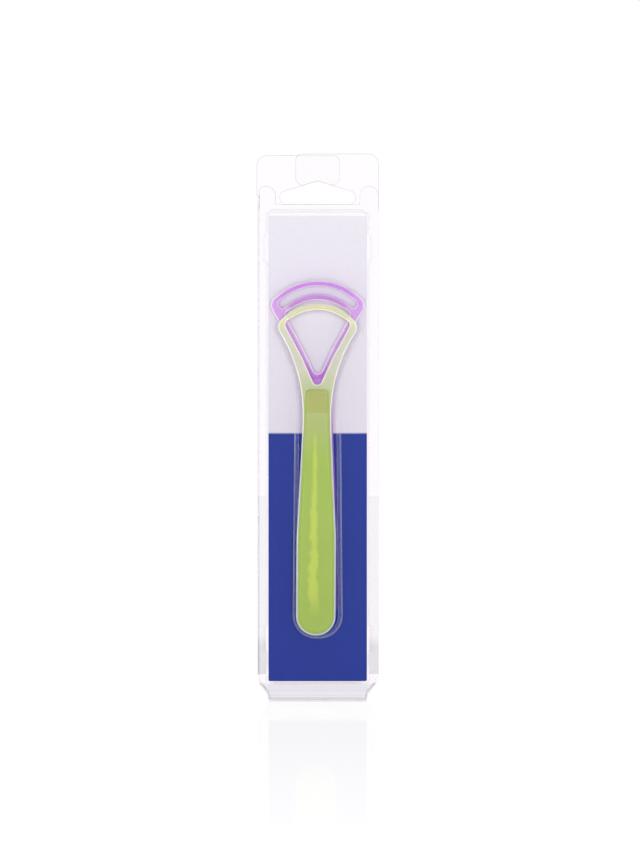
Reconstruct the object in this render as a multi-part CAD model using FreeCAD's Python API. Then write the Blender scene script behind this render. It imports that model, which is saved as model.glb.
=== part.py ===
"""Twin pack of tongue scrapers: two mouldings and a printed card in a clear, hinged, thermoformed pack.

Frame: millimetres, +Z up, the pack's front faces -Y. The two halves of the pack meet on the plane y = 0.
The origin is on the floor under the middle of that plane.
"""

import FreeCAD, Part
import math
import os

Vector = FreeCAD.Vector

# Sheet, board and clearances
SHEET = 0.45
BOARD = 0.4
LOOSE_GAP = 0.3
NEST_GAP = 0.3
BOARD_GAP = 0.15
SMALLEST_RADIUS = 0.1

# Scrapers, seen from the front
HANDLE_HALF = 8.45
HANDLE_END_RADIUS = 8.3
BUTT_LENGTH = 42.0
TAPER_LENGTH = 47.3
NECK_LENGTH = 23.5
WAIST_HALF = 6.2
WAIST_ROOM = 4.0
NECK_HALF = 5.8
ARM_STRAIGHT = 1.0
NECK_RADIUS = 66.0
SWELL_RADIUS = 90.0
ARM_WIDTH = 3.7
BAND = 2.6
CROTCH_DROP = 8.0
CROTCH_RADIUS = 2.0
OPENING_BOW = 0.7
OPENING_BEND = 80.0
OPENING_CORNER = 2.3

# Scrapers, seen from the side, and the raised grip on the handle
HANDLE_THICK = 3.6
HOOP_THICK = 2.5
LIP_WIDTH = 1.0
LIP_SETBACK = 1.1
MOULD_EDGE = 0.5
GRIP_SETBACK = 6.2
GRIP_MARGIN = 1.0
GRIP_DRAFT = 0.3
GRIP_EDGE = 1.0
GRIP_CORNER = 2.3

# Heads: reach of the crown above the neck, its radius, half width to the corners and their rounding
SINGLE_REACH = 29.6
SINGLE_CROWN = 20.8
SINGLE_HALF = 18.2
SINGLE_SHOULDER = 4.2
DOUBLE_REACH = 34.75
DOUBLE_CROWN = 26.7
DOUBLE_HALF = 21.6
DOUBLE_SHOULDER = 4.6
DOUBLE_SLOT = 3.3
SLOT_PAST_ANGLE = 3.0
LIP_SHORT_ANGLE = 3.0
DOUBLE_LIFT = 4.9

# Pocket formed in the front half
POCKET_DRAFT = 0.6
POCKET_EDGE = 1.4
POCKET_FLOOR = 16.4
POCKET_HEADROOM = 0.6
POCKET_SIDE_ROOM = 1.9
POCKET_NECK_ROOM = 2.5
HANDLE_PLAY = 0.8
POCKET_NECK_RADIUS = 14.0
POCKET_CHEEK = 1.7
POCKET_CHEEK_RADIUS = 8.0
POCKET_SHOULDER = 6.0

# Raised panel, its snap lugs, the plug that nests in it, and the card
PANEL_LAND = 1.05
PANEL_RISE = 4.0
PANEL_DRAFT = 0.5
PANEL_CORNER = 3.0
PANEL_FOOT_CORNER = 1.6
PANEL_EDGE = 0.6
PANEL_HEADER = 28.65
PANEL_SILL = 0.3
LUG_OUT = 1.1
LUG_LENGTH = 13.0
LUG_ROUND = 1.2
LUG_SETBACK = 16.0
PLUG_SETBACK = 3.0
CARD_MARGIN = 0.6
CARD_FOOT_MARGIN = 0.25
CARD_HEAD_MARGIN = 2.2
CARD_CORNER = 0.8

# Rim and foot
RIM = 4.0
FOOT_RIM_HEIGHT = 3.3
FOOT_LIP_HEIGHT = 7.2
FOOT_HEIGHT = 10.5
FOOT_INSET = 5.4
FOOT_TAPER = 0.75
SKIRT_INSET = 1.2
FOOT_FRONT = 11.0
FOOT_BACK = 9.0
FOOT_BEAD = 0.5
FOOT_BEAD_HEIGHT = 1.2
FOOT_SHELF_BACK = 4.0
FOOT_EDGE = 0.8

# Peg hole and hooks
HOLE_HALF = 16.2
HOLE_HEIGHT = 10.0
HOLE_END = 5.0
HOLE_END_RADIUS = 2.4
HOLE_PEAK_RADIUS = 3.0
HOLE_ABOVE_PANEL = 2.8
HOOK_BAR = 11.7
HOOK_OFFSET = 0.7
TAB_HALF = 9.5
TAB_HEEL_RADIUS = 3.0
TAB_RADIUS = 2.8
EAR_GAP = 1.9
EAR_HEIGHT = 7.8
EAR_RADIUS = 4.0
TOP_CORNER = 4.5
CUT_CORNER = 0.5

# Fold between the halves
FOLD_RADIUS = 0.5
FOLD_GAP = 0.1


def crown(top, radius, across):
    """The apex and fall of two lines whose rounding is an arc under this top that ends this far across."""
    angle = math.asin(across / radius)
    return top - radius + radius / math.cos(angle), math.tan(angle)


def arm_slope(reach, crown_radius, half, shoulder):
    """How far an arm spreads for each millimetre that it rises, from the neck to the corner of its head."""
    apex, fall = crown(reach, crown_radius, half - shoulder)
    return (half - NECK_HALF) / (apex - fall * half)


def head_half(crown_radius, half, shoulder, slope):
    """The half width that a head keeps when its corners are rounded."""
    angle = math.asin((half - shoulder) / crown_radius)
    lean = math.atan(slope)
    return half + shoulder - shoulder * (math.sin(lean) + math.cos(angle)) / math.cos(angle - lean)


# How the arms of each scraper spread
single_slope = arm_slope(SINGLE_REACH, SINGLE_CROWN, SINGLE_HALF, SINGLE_SHOULDER)
double_slope = arm_slope(DOUBLE_REACH, DOUBLE_CROWN, DOUBLE_HALF, DOUBLE_SHOULDER)

# Heights that follow from the sizes above
handle_length = BUTT_LENGTH + TAPER_LENGTH + NECK_LENGTH
panel_low = FOOT_LIP_HEIGHT + PANEL_SILL
pocket_low = FOOT_HEIGHT + POCKET_FLOOR
pocket_room = SHEET + LOOSE_GAP + POCKET_DRAFT
single_end = pocket_low + pocket_room
double_end = single_end + DOUBLE_LIFT
double_top = double_end + handle_length + DOUBLE_REACH
pocket_high = double_top + POCKET_HEADROOM + SHEET + POCKET_DRAFT / 2
panel_high = pocket_high + PANEL_HEADER
plug_low = FOOT_HEIGHT + PLUG_SETBACK
hole_low = panel_high + HOLE_ABOVE_PANEL
hole_high = hole_low + HOLE_HEIGHT
ear_high = hole_low + EAR_HEIGHT
back_high = hole_high + HOOK_BAR
front_high = back_high - HOOK_OFFSET
fold_low = FOOT_HEIGHT + FOLD_GAP
fold_high = ear_high - EAR_RADIUS

# Widths that follow from the sizes above
double_half = head_half(DOUBLE_CROWN, DOUBLE_HALF, DOUBLE_SHOULDER, double_slope)
pocket_half = double_half + SHEET + LOOSE_GAP + POCKET_DRAFT / 2
panel_half = pocket_half + PANEL_LAND
pack_half = panel_half + RIM
skirt_half = pack_half - SKIRT_INSET
foot_half = pack_half - FOOT_INSET
card_half = panel_half - SHEET - CARD_MARGIN
fold_x = FOLD_RADIUS - pack_half
rim_left = fold_x + FOLD_RADIUS + FOLD_GAP

# Depths in front of the meeting plane that follow from the sizes above
card_front = PANEL_RISE - SHEET - BOARD_GAP
card_back = card_front - BOARD
double_back = card_front + LOOSE_GAP
single_back = double_back + HANDLE_THICK + LOOSE_GAP
pocket_front = single_back + HANDLE_THICK + LOOSE_GAP + SHEET

# How far a cutting form runs past the face that it opens
PAST = 2.0

# Leg of the flat bevel that touches a rounding of radius 1 in its middle
BEVEL = 2 - math.sqrt(2)

# How close counts as the same place, and as square to Y
SAME = 1e-6
SIDEWAYS = 1e-4


def inset(corners, distance):
    """Moves every side of a counter-clockwise outline inwards and keeps its number of corners."""
    moved = []
    count = len(corners)
    for index, (u, v, radius) in enumerate(corners):
        before = corners[index - 1]
        after = corners[(index + 1) % count]
        first = Vector(u - before[0], v - before[1], 0).normalize()
        second = Vector(after[0] - u, after[1] - v, 0).normalize()
        turn = first.x * second.y - first.y * second.x
        along = (1 - first.dot(second)) / turn if abs(turn) > SAME else 0.0
        shift_u = -first.y - first.x * along
        shift_v = first.x - first.y * along
        if radius:
            radius = max(radius - distance * math.copysign(1, turn), SMALLEST_RADIUS)
        moved.append((u + shift_u * distance, v + shift_v * distance, radius))
    return moved


def outline(corners, place):
    """A closed wire of lines with a tangent arc at each rounded corner; place turns (u, v) into a point."""
    spans = []
    count = len(corners)
    for index, (u, v, radius) in enumerate(corners):
        corner = Vector(u, v, 0)
        before = Vector(*corners[index - 1][:2], 0) - corner
        after = Vector(*corners[(index + 1) % count][:2], 0) - corner
        before.normalize()
        after.normalize()
        if not radius:
            spans.append((corner, None, corner))
            continue
        half = before.getAngle(after) / 2
        reach = radius / math.tan(half)
        middle = (before + after).normalize()
        nearest = radius / math.sin(half) - radius
        spans.append((corner + before * reach, corner + middle * nearest, corner + after * reach))
    edges = []
    for index, (start, middle, end) in enumerate(spans):
        if middle is not None:
            edges.append(Part.Arc(place(start), place(middle), place(end)).toShape())
        following = spans[(index + 1) % count][0]
        if (following - end).Length > SAME:
            edges.append(Part.LineSegment(place(end), place(following)).toShape())
    return Part.Wire(edges)


def front_view(depth):
    """Places an outline drawn from the front at a depth along Y."""
    return lambda point: Vector(point.x, depth, point.y)


def side_view(place):
    """Places an outline drawn from the side, with u along Y, at a place along X."""
    return lambda point: Vector(place, point.x, point.y)


def both_sides(right):
    """Completes an outline from its right half, given from the lowest corner to the highest."""
    return right + [(-u, v, radius) for u, v, radius in reversed(right) if u > 0]


def mirrored(corners):
    """The same outline with left and right, or front and back, changed over."""
    return [(-u, v, radius) for u, v, radius in reversed(corners)]


def slab(corners, start, end):
    """A front outline made solid between two places along Y."""
    return Part.Face(outline(corners, front_view(start))).extrude(Vector(0, end - start, 0))


def beam(corners, half):
    """A side outline made solid across the width."""
    return Part.Face(outline(corners, side_view(-half))).extrude(Vector(2 * half, 0, 0))


def formed(corners, start, end, start_inset, end_inset, edge=0, bevelled=False):
    """A drafted form between two places along Y, its far edge rounded or with the bevel for that radius."""
    wires = [
        outline(inset(corners, start_inset), front_view(start)),
        outline(inset(corners, end_inset), front_view(end)),
    ]
    form = Part.makeLoft(wires, True, True)
    if not edge:
        return form
    rim = [side for side in form.Edges if all(abs(tip.Point.y - end) < SAME for tip in side.Vertexes)]
    return form.makeChamfer(edge * BEVEL, rim) if bevelled else form.makeFillet(edge, rim)


def curved_bar(centre, radius, swing, width, start, end):
    """A solid band that swings to both sides of the top of an arc round (0, centre), between two places along Y."""
    inner = radius - width / 2
    outer = radius + width / 2
    cap = swing + width / 2 / radius

    def at(distance, angle):
        return Vector(distance * math.sin(angle), start, centre + distance * math.cos(angle))

    edges = [
        Part.Arc(at(outer, -swing), at(outer, 0), at(outer, swing)),
        Part.Arc(at(outer, swing), at(radius, cap), at(inner, swing)),
        Part.Arc(at(inner, swing), at(inner, 0), at(inner, -swing)),
        Part.Arc(at(inner, -swing), at(radius, -cap), at(outer, -swing)),
    ]
    face = Part.Face(Part.Wire([edge.toShape() for edge in edges]))
    return face.extrude(Vector(0, end - start, 0))


def rim_edges(body):
    """The edges where a moulding's side walls meet its front and back faces."""
    seen = {}
    for face in body.Faces:
        low_u, high_u, low_v, high_v = face.ParameterRange
        normal = face.normalAt((low_u + high_u) / 2, (low_v + high_v) / 2)
        if abs(normal.y) < SIDEWAYS:
            for edge in face.Edges:
                seen.setdefault(edge.hashCode(), []).append(edge)
    return [edges[0] for edges in seen.values() if len(edges) == 1]


def meet(apex, fall, foot, slope):
    """Where a line falling from the apex meets an arm's side, which leaves the middle at the height foot."""
    height = (apex + fall * slope * foot) / (1 + fall * slope)
    return (height - foot) * slope, height


def arm_foot(neck, slope, outwards=0):
    """The height where an arm's outer side, moved outwards by a distance, would cross the middle."""
    return neck - NECK_HALF / slope - outwards * math.hypot(1, slope) / slope


def scraper(end, reach, crown_radius, half, shoulder, slope, back, slot=0):
    """A scraper moulding: handle with raised grip, two arms, and a crowned head with lips and any slot."""
    neck = end + handle_length
    top = neck + reach
    centre = top - crown_radius
    front = back + HANDLE_THICK
    hoop_front = back + HOOP_THICK
    apex, fall = crown(top, crown_radius, half - shoulder)
    arm = (half - NECK_HALF) * math.hypot(1, slope) / slope
    room = min(arm - shoulder - ARM_STRAIGHT, NECK_LENGTH - WAIST_ROOM)
    bend = min(NECK_RADIUS, room / math.tan(math.atan(slope) / 2))
    handle = [
        (HANDLE_HALF, end, HANDLE_END_RADIUS),
        (HANDLE_HALF, end + BUTT_LENGTH, SWELL_RADIUS),
        (WAIST_HALF, neck - NECK_LENGTH, SWELL_RADIUS),
    ]
    side = handle + [
        (NECK_HALF, neck, bend),
        (half, apex - fall * half, shoulder),
        (0, apex, crown_radius),
    ]
    grip = both_sides(handle + [(NECK_HALF, neck - GRIP_SETBACK, GRIP_CORNER)])
    head = 2 * BAND + slot if slot else BAND
    opening_crown = crown_radius - head
    opening_apex, opening_fall = crown(top - head, opening_crown, opening_crown / 2)
    corner, height = meet(opening_apex, opening_fall, arm_foot(neck, slope, -ARM_WIDTH), slope)
    crotch = neck - CROTCH_DROP
    opening = [
        (0, crotch, CROTCH_RADIUS),
        (corner / 2 - OPENING_BOW, (crotch + height) / 2, OPENING_BEND),
        (corner, height, OPENING_CORNER),
        (0, opening_apex, opening_crown),
    ]
    body = slab(both_sides(side), -back, -hoop_front)
    body = body.cut(slab(both_sides(opening), PAST - back, -front - PAST))
    swing = math.asin((half - shoulder) / crown_radius)
    lips = [crown_radius - LIP_SETBACK]
    if slot:
        middle = crown_radius - BAND - slot / 2
        slot_swing = swing + math.radians(SLOT_PAST_ANGLE)
        lips.append(opening_crown + BAND - LIP_SETBACK)
        body = body.cut(curved_bar(centre, middle, slot_swing, slot, PAST - back, -front - PAST))
    body = body.removeSplitter()
    body = body.makeChamfer(MOULD_EDGE, rim_edges(body))
    raised = [formed(grip, -hoop_front, -front, GRIP_MARGIN, GRIP_MARGIN + GRIP_DRAFT, GRIP_EDGE, True)]
    lip_swing = swing - math.radians(LIP_SHORT_ANGLE)
    for radius in lips:
        raised.append(curved_bar(centre, radius, lip_swing, LIP_WIDTH, -back - BAND / 2, -front))
    return body.fuse(raised).removeSplitter()


def pocket_corners():
    """The pocket's mouth, drawn round both scrapers."""
    mouth_crown = DOUBLE_CROWN + pocket_room
    apex, fall = crown(pocket_high, mouth_crown, pocket_half - POCKET_SHOULDER)
    foot = arm_foot(single_end + handle_length, single_slope, pocket_room + POCKET_SIDE_ROOM)
    neck_half = NECK_HALF + pocket_room + POCKET_NECK_ROOM
    cheek_half = pocket_half - POCKET_CHEEK
    end_half = HANDLE_HALF + pocket_room + HANDLE_PLAY
    return both_sides(
        [
            (end_half, pocket_low, HANDLE_END_RADIUS + pocket_room),
            (neck_half, foot + neck_half / single_slope, POCKET_NECK_RADIUS),
            (cheek_half, foot + cheek_half / single_slope, POCKET_CHEEK_RADIUS),
            (pocket_half, apex - fall * pocket_half, POCKET_SHOULDER),
            (0, apex, mouth_crown),
        ]
    )


def panel_corners(low):
    """The raised panel from this height up, with a snap lug near each end of both sides."""
    side = [(panel_half, low, PANEL_FOOT_CORNER)]
    for middle in (FOOT_HEIGHT + LUG_SETBACK, panel_high - LUG_SETBACK):
        start = middle - LUG_LENGTH / 2
        end = middle + LUG_LENGTH / 2
        side += [
            (panel_half, start, LUG_ROUND),
            (panel_half + LUG_OUT, start + LUG_OUT, LUG_ROUND),
            (panel_half + LUG_OUT, end - LUG_OUT, LUG_ROUND),
            (panel_half, end, LUG_ROUND),
        ]
    return both_sides(side + [(panel_half, panel_high, PANEL_CORNER)])


def panel_draft(depth):
    """How far the panel's side stands inside its front outline at a depth in front of the meeting plane."""
    return PANEL_DRAFT * (depth / PANEL_RISE - 1)


def foot_side():
    """The right side of the foot from the floor to the rim."""
    return [
        (foot_half, 0, CUT_CORNER),
        (foot_half + FOOT_TAPER, FOOT_RIM_HEIGHT, FOOT_EDGE),
        (skirt_half, FOOT_LIP_HEIGHT, FOOT_EDGE),
        (pack_half, FOOT_HEIGHT, FOOT_EDGE),
    ]


def sheet_corners(high):
    """One half's sheet seen flat: foot, straight sides, an ear on the right and a hook from the left."""
    ear_side = HOLE_HALF + EAR_GAP
    hole_fall = (HOLE_HEIGHT - HOLE_END) / HOLE_HALF
    foot_left = [(-u, v, radius) for u, v, radius in reversed(foot_side())]
    hook = [
        (pack_half, ear_high, EAR_RADIUS),
        (ear_side, ear_high, EAR_RADIUS),
        (ear_side, hole_low, CUT_CORNER),
        (-HOLE_HALF, hole_low, HOLE_END_RADIUS),
        (-HOLE_HALF, hole_low + HOLE_END, HOLE_END_RADIUS),
        (0, hole_high, HOLE_PEAK_RADIUS),
        (TAB_HALF, hole_high - hole_fall * TAB_HALF, TAB_HEEL_RADIUS),
        (TAB_HALF, high, TAB_RADIUS),
        (-pack_half, high, TOP_CORNER),
    ]
    return foot_side() + hook + foot_left


def foot(depth, shelf, facing, wall=0):
    """Half of the hollow foot, facing -1 to the front or 1 to the back; a wall gives the space inside it."""
    opening = PAST + wall if wall else 0
    rise = (FOOT_HEIGHT - FOOT_LIP_HEIGHT) / shelf
    profile = [
        (-depth - FOOT_BEAD, 0, 0),
        (opening, 0, 0),
        (opening, FOOT_HEIGHT + rise * opening, 0),
        (-shelf, FOOT_LIP_HEIGHT, FOOT_EDGE),
        (-depth, FOOT_RIM_HEIGHT, FOOT_EDGE),
        (-depth, FOOT_BEAD_HEIGHT + FOOT_BEAD, 0),
        (-depth - FOOT_BEAD, FOOT_BEAD_HEIGHT, 0),
    ]
    if facing > 0:
        profile = mirrored(profile)
    sides = both_sides(foot_side() + [(pack_half, FOOT_HEIGHT + PAST + rise * PAST, 0)])
    if wall:
        profile = inset(profile, wall)
        sides = inset(sides, wall)
    reach = max(depth, shelf) + FOOT_BEAD + PAST
    return beam(profile, pack_half).common(slab(sides, -reach, reach))


def fold_clearance(high):
    """The strip along the left edge that a sheet leaves free for the fold."""
    left = -pack_half - PAST
    low = FOOT_LIP_HEIGHT
    return Part.makeBox(rim_left - left, 2 * PAST, high - low, Vector(left, -PAST, low))


def pocket_inset(depth):
    """How far the pocket's side stands inside its mouth at a depth in front of the meeting plane."""
    return POCKET_DRAFT * (depth - PANEL_RISE) / (pocket_front - PANEL_RISE)


def front_shell():
    """Clear front half: rim and hook, raised panel, contour pocket and foot lip, all of one sheet."""
    panel = panel_corners(panel_low)
    pocket = pocket_corners()
    mouth = PANEL_RISE / 2
    shell = slab(sheet_corners(front_high), 0, -SHEET)
    shell = shell.fuse(
        [
            formed(panel, 0, -PANEL_RISE, panel_draft(0), 0, PANEL_EDGE + SHEET, True),
            formed(pocket, -mouth, -pocket_front, pocket_inset(mouth), POCKET_DRAFT, POCKET_EDGE),
            foot(FOOT_FRONT, PANEL_RISE, -1),
        ]
    )
    inside = panel_half - SHEET - PANEL_CORNER
    sill = FOOT_RIM_HEIGHT + SHEET
    hollows = [
        formed(
            panel,
            PAST,
            SHEET - PANEL_RISE,
            panel_draft(-PAST) + SHEET,
            panel_draft(PANEL_RISE - SHEET) + SHEET,
            PANEL_EDGE,
            True,
        ),
        formed(
            pocket,
            -mouth,
            SHEET - pocket_front,
            pocket_inset(mouth) + SHEET,
            pocket_inset(pocket_front - SHEET) + SHEET,
            POCKET_EDGE - SHEET,
            True,
        ),
        foot(FOOT_FRONT, PANEL_RISE, -1, SHEET),
        Part.makeBox(
            2 * inside,
            PANEL_RISE - SHEET + PAST,
            panel_low + PANEL_CORNER + SHEET - sill,
            Vector(-inside, SHEET - PANEL_RISE, sill),
        ),
        fold_clearance(fold_high + FOLD_GAP),
    ]
    return shell.cut(hollows).removeSplitter()


def back_shell():
    """Clear back half: rim and hook, the plug that nests in the front panel, and foot, all of one sheet."""
    plug = panel_corners(plug_low)
    nest = SHEET + NEST_GAP
    shell = slab(mirrored(sheet_corners(back_high)), 0, SHEET)
    shell = shell.fuse(
        [
            formed(plug, SHEET, -card_back, panel_draft(-SHEET) + nest, panel_draft(card_back) + nest),
            foot(FOOT_BACK, FOOT_SHELF_BACK, 1),
        ]
    )
    hollows = [
        formed(
            plug,
            PAST,
            SHEET - card_back,
            panel_draft(-PAST) + nest + SHEET,
            panel_draft(card_back - SHEET) + nest + SHEET,
        ),
        foot(FOOT_BACK, FOOT_SHELF_BACK, 1, SHEET),
        fold_clearance(ear_high + PAST),
    ]
    return shell.cut(hollows).removeSplitter()


def fold_hinge():
    """The fold that joins the halves along the left edge."""
    return Part.makeCylinder(FOLD_RADIUS, fold_high - fold_low, Vector(fold_x, 0, fold_low))


def insert_card():
    """Printed board that lies on the plug, behind the front panel."""
    low = panel_low + SHEET + CARD_FOOT_MARGIN
    high = panel_high - CARD_HEAD_MARGIN
    card = both_sides([(card_half, low, CARD_CORNER), (card_half, high, CARD_CORNER)])
    return slab(card, -card_back, -card_front)


def single_blade_scraper():
    """Front scraper: one hoop with one scraping edge. It leans as far as its handle has play."""
    head = (SINGLE_REACH, SINGLE_CROWN, SINGLE_HALF, SINGLE_SHOULDER, single_slope)
    body = scraper(single_end, *head, single_back)
    hang = handle_length + SINGLE_REACH
    lean = math.degrees(math.atan2(HANDLE_PLAY, hang - HANDLE_HALF))
    body.rotate(Vector(0, 0, single_end + hang), Vector(0, 1, 0), lean)
    return body


def double_blade_scraper():
    """Back scraper: two scraping edges with a crescent slot between them."""
    head = (DOUBLE_REACH, DOUBLE_CROWN, DOUBLE_HALF, DOUBLE_SHOULDER, double_slope)
    return scraper(double_end, *head, double_back, DOUBLE_SLOT)


PIECES = [front_shell, back_shell, fold_hinge, insert_card, single_blade_scraper, double_blade_scraper]

os.makedirs("parts", exist_ok=True)
for piece in PIECES:
    shape = piece()
    shape.exportStep(f"parts/{piece.__name__}.step")
    print(piece.__name__, shape.isValid(), len(shape.Solids), round(shape.Volume, 1), shape.BoundBox)
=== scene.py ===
"""Looks of the tongue scraper twin pack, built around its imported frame.

The file is laid out as an add-on: settings, one operator for each piece or group, a stage and a panel.
Lengths are metres, +Z is up, the pack stands on z = 0 and its front faces -Y.
"""

import math

import bpy
from bpy.props import FloatProperty, FloatVectorProperty, PointerProperty
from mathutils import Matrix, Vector


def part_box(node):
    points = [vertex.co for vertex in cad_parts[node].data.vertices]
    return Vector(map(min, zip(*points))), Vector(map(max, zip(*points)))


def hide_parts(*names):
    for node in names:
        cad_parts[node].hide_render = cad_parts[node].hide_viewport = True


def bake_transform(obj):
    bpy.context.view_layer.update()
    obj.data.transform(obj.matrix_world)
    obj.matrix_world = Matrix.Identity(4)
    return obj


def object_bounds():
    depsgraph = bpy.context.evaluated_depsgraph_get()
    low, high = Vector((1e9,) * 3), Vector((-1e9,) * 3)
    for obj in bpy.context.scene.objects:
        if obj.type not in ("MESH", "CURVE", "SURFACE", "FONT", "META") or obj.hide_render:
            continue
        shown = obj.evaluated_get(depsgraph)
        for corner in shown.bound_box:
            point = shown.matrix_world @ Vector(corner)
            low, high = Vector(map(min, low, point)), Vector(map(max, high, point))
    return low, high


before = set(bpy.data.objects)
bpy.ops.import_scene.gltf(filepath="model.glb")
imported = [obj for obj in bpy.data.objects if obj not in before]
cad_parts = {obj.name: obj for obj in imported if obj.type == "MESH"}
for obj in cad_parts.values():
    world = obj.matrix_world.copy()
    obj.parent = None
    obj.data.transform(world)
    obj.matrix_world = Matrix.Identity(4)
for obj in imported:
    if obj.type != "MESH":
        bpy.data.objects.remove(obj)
CAD_LOW, CAD_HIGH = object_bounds()

bl_info = {
    "name": "Tongue Scraper Pack",
    "version": (1, 0, 0),
    "blender": (4, 5, 0),
    "location": "View3D > Sidebar > Scraper Pack",
    "description": "Dresses a clear twin pack of tongue scrapers and sets its stage",
    "category": "Object",
}

MM = 0.001

# Share of the light that a face of the clear sheet throws back: seen square on, and at a glancing angle on
# the panel, on the foot and hooks, and on the fold
FACE_GLOSS = 0.006
GLANCING_GLOSS = 0.15
FOOT_GLOSS = 0.2
FOLD_GLOSS = 0.03

# Cosine of the turn at a rounded edge of the sheet where the edge begins to show, and where it shows fully
TURN_BEGIN = 0.99
TURN_FULL = 0.86

# Faces of clear sheet that one ray may pass
SHEET_FACES = 32

# The pack's flat rim: its width, its soft border, and the height below which the rim beside the foot gets
# painted shade
RIM_WIDTH = 4.6 * MM
RIM_BORDER = 1 * MM
RIM_SHADE_TOP = 88 * MM

# The pack's foot: its front slope ends at the lip, and clear corner facets reach from there to the rim
FOOT_LIP_HEIGHT = 7.2 * MM
FOOT_FACET_HEIGHT = 11 * MM

# Painted shade on the clear sheet: its share on the rim below the shade top and on the foot, and the height
# over which the rim beside the foot goes over to full painted shade
RIM_SHADE = 0.3
FOOT_SHADE = 0.4
SHADE_FADE = 5 * MM

# Height above which the halves are flat and end in the hooks round the peg hole
HOOK_HEIGHT = 211 * MM

# The fold: steps of its bend, the least distance between its points, and the angle up to which it is smooth
FOLD_STEPS = 16
MERGE_DISTANCE = 0.001 * MM
SMOOTH_ANGLE = math.radians(35)

# The crescent slot between the two lips: height of its middle, inner and outer radius with the rims on both
# sides, the cosine of the angle where it ends, and how much of their painted highlight its rims show
SLOT = (154 * MM, 20.2 * MM, 24.7 * MM)
SLOT_REACH = 0.66
SLOT_RIM = 0.8

# Heights along both scrapers: foot of the handle, top of the grip, where the arms part, start of the crown
HANDLE_FOOT = 28 * MM
GRIP_HEIGHT = 135.5 * MM
ARM_HEIGHT = 143 * MM
CROWN_HEIGHT = 158 * MM

# Heights where the lime scraper's colours change: the grip pales, steps and has its last stretch, the ledge
# ends, the crown has its colour, and the handle's bluish-white rims, a painted highlight, go over to the
# hoop's pale ones
LIME_PALING = GRIP_HEIGHT - 31.2 * MM
LIME_STEP = GRIP_HEIGHT - 11.6 * MM
LIME_GRIP_TOP = GRIP_HEIGHT - 11.2 * MM
LIME_LEDGE_END = GRIP_HEIGHT - 9 * MM
LIME_CROWN = CROWN_HEIGHT + 6 * MM
LIME_HANDLE_RIM_END = GRIP_HEIGHT - 24 * MM
LIME_HOOP_RIM = GRIP_HEIGHT - 18 * MM

# Heights where the lilac scraper's colours change: the painted shade along the handle ends, the crotch
# begins and ends, the arms begin and end, the crown has its colour, and the crotch's rims end
LILAC_SHADE_END = GRIP_HEIGHT - 52 * MM
LILAC_CROTCH = GRIP_HEIGHT - 18 * MM
LILAC_CROTCH_END = GRIP_HEIGHT + 3 * MM
LILAC_ARM = ARM_HEIGHT + 4 * MM
LILAC_ARM_END = CROWN_HEIGHT + 6 * MM
LILAC_CROWN = CROWN_HEIGHT + 14 * MM
LILAC_CROTCH_RIM_END = GRIP_HEIGHT - 6 * MM

# Depths behind a scraper's foremost face: where the colour of the raised grip and lip is full and where it
# ends, and where the rims of the sunk faces begin and are full
RAISED_FULL = 0.4 * MM
RAISED_END = 0.9 * MM
SUNK_BEGIN = 0.8 * MM
SUNK_FULL = 1.0 * MM

# Cosine between a face of a scraper and the front: a chamfer shows its rim fully between the middle two,
# and not at all on the flat faces before the first and the side walls past the last
CHAMFER_FIRST = 0.97
CHAMFER_FULL = 0.8
CHAMFER_FADING = 0.4
CHAMFER_LAST = 0.2

# Y of the normal below which a face of the card is its printed front
CARD_FRONT = -0.5

# Moulded plastic: size of its fine grain, drawn coarser than it is so that it shows, and of its flow marks
GRAIN = 0.7 * MM
FLOW_MARKS = 16 * MM

# The ragged band on the lime grip: its upper end with its fade, the height where it is widest, its lower
# end with its fade, the size of its rags, and the least and greatest share of its width that they leave
BAND_TOP = 117 * MM
BAND_TOP_FADE = 6 * MM
BAND_WIDEST = 50 * MM
BAND_FOOT = 36 * MM
BAND_FOOT_FADE = 10 * MM
BAND_RAGS = 4 * MM
RAGS_LEAST = 0.5
RAGS_MOST = 1.5

# The band at its upper end and where it is widest: its share of the set width, and how far left it lies
BAND_TOP_SHARE = 0.7
BAND_WIDEST_SHARE = 2.0
BAND_TOP_SHIFT = 1.0 * MM
BAND_WIDEST_SHIFT = 1.8 * MM

# How far the band's colour reaches past its side, and how far inside it is full
BAND_REACH = 0.3 * MM
BAND_FULL = 0.9 * MM

# Most of a noise pattern lies between these two values
NOISE_LOW = 0.3
NOISE_HIGH = 0.7

# The floor: its side, its gap below the pack, how bright it looks and how much of a shadow it takes
FLOOR_SIZE = 8
FLOOR_GAP = 0.2 * MM
FLOOR_GLOW = 1.05
FLOOR_SHADOW = 0.06

# The floor's mirror image: its share far in front of the pack and close to it, and where those places are
MIRROR_FAR_SHARE = 0.05
MIRROR_NEAR_SHARE = 0.13
MIRROR_FAR = -700 * MM
MIRROR_NEAR = -10 * MM

# The right-hand lamp, seen from the aim, with its width and height; the other one is its mirror image
LAMP_PLACE = (270 * MM, -1000 * MM, 50 * MM)
LAMP_WIDTH = 340 * MM
LAMP_HEIGHT = 600 * MM

# Light from the room: its level behind the camera, and the Y of the direction from which it is full
ROOM_DIM = 0.03
ROOM_FULL = 0.1

# Kinds of shader node that come up most
MATH = "ShaderNodeMath"
VECTOR_MATH = "ShaderNodeVectorMath"
MAP_RANGE = "ShaderNodeMapRange"
MIX = "ShaderNodeMix"
MIX_SHADER = "ShaderNodeMixShader"
NOISE = "ShaderNodeTexNoise"
SEPARATE = "ShaderNodeSeparateXYZ"

# Inputs of a Mix node that mixes colours
MIX_FIRST = 6
MIX_SECOND = 7


def linear(hex_value):
    """The linear red, green and blue of an sRGB hex value."""
    channels = [int(hex_value[start:start + 2], 16) / 255 for start in (1, 3, 5)]
    return tuple(c / 12.92 if c <= 0.04045 else ((c + 0.055) / 1.055) ** 2.4 for c in channels)


def opaque(colour):
    """A colour setting as the four values that a node's colour socket takes."""
    return (*colour, 1.0)


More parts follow.
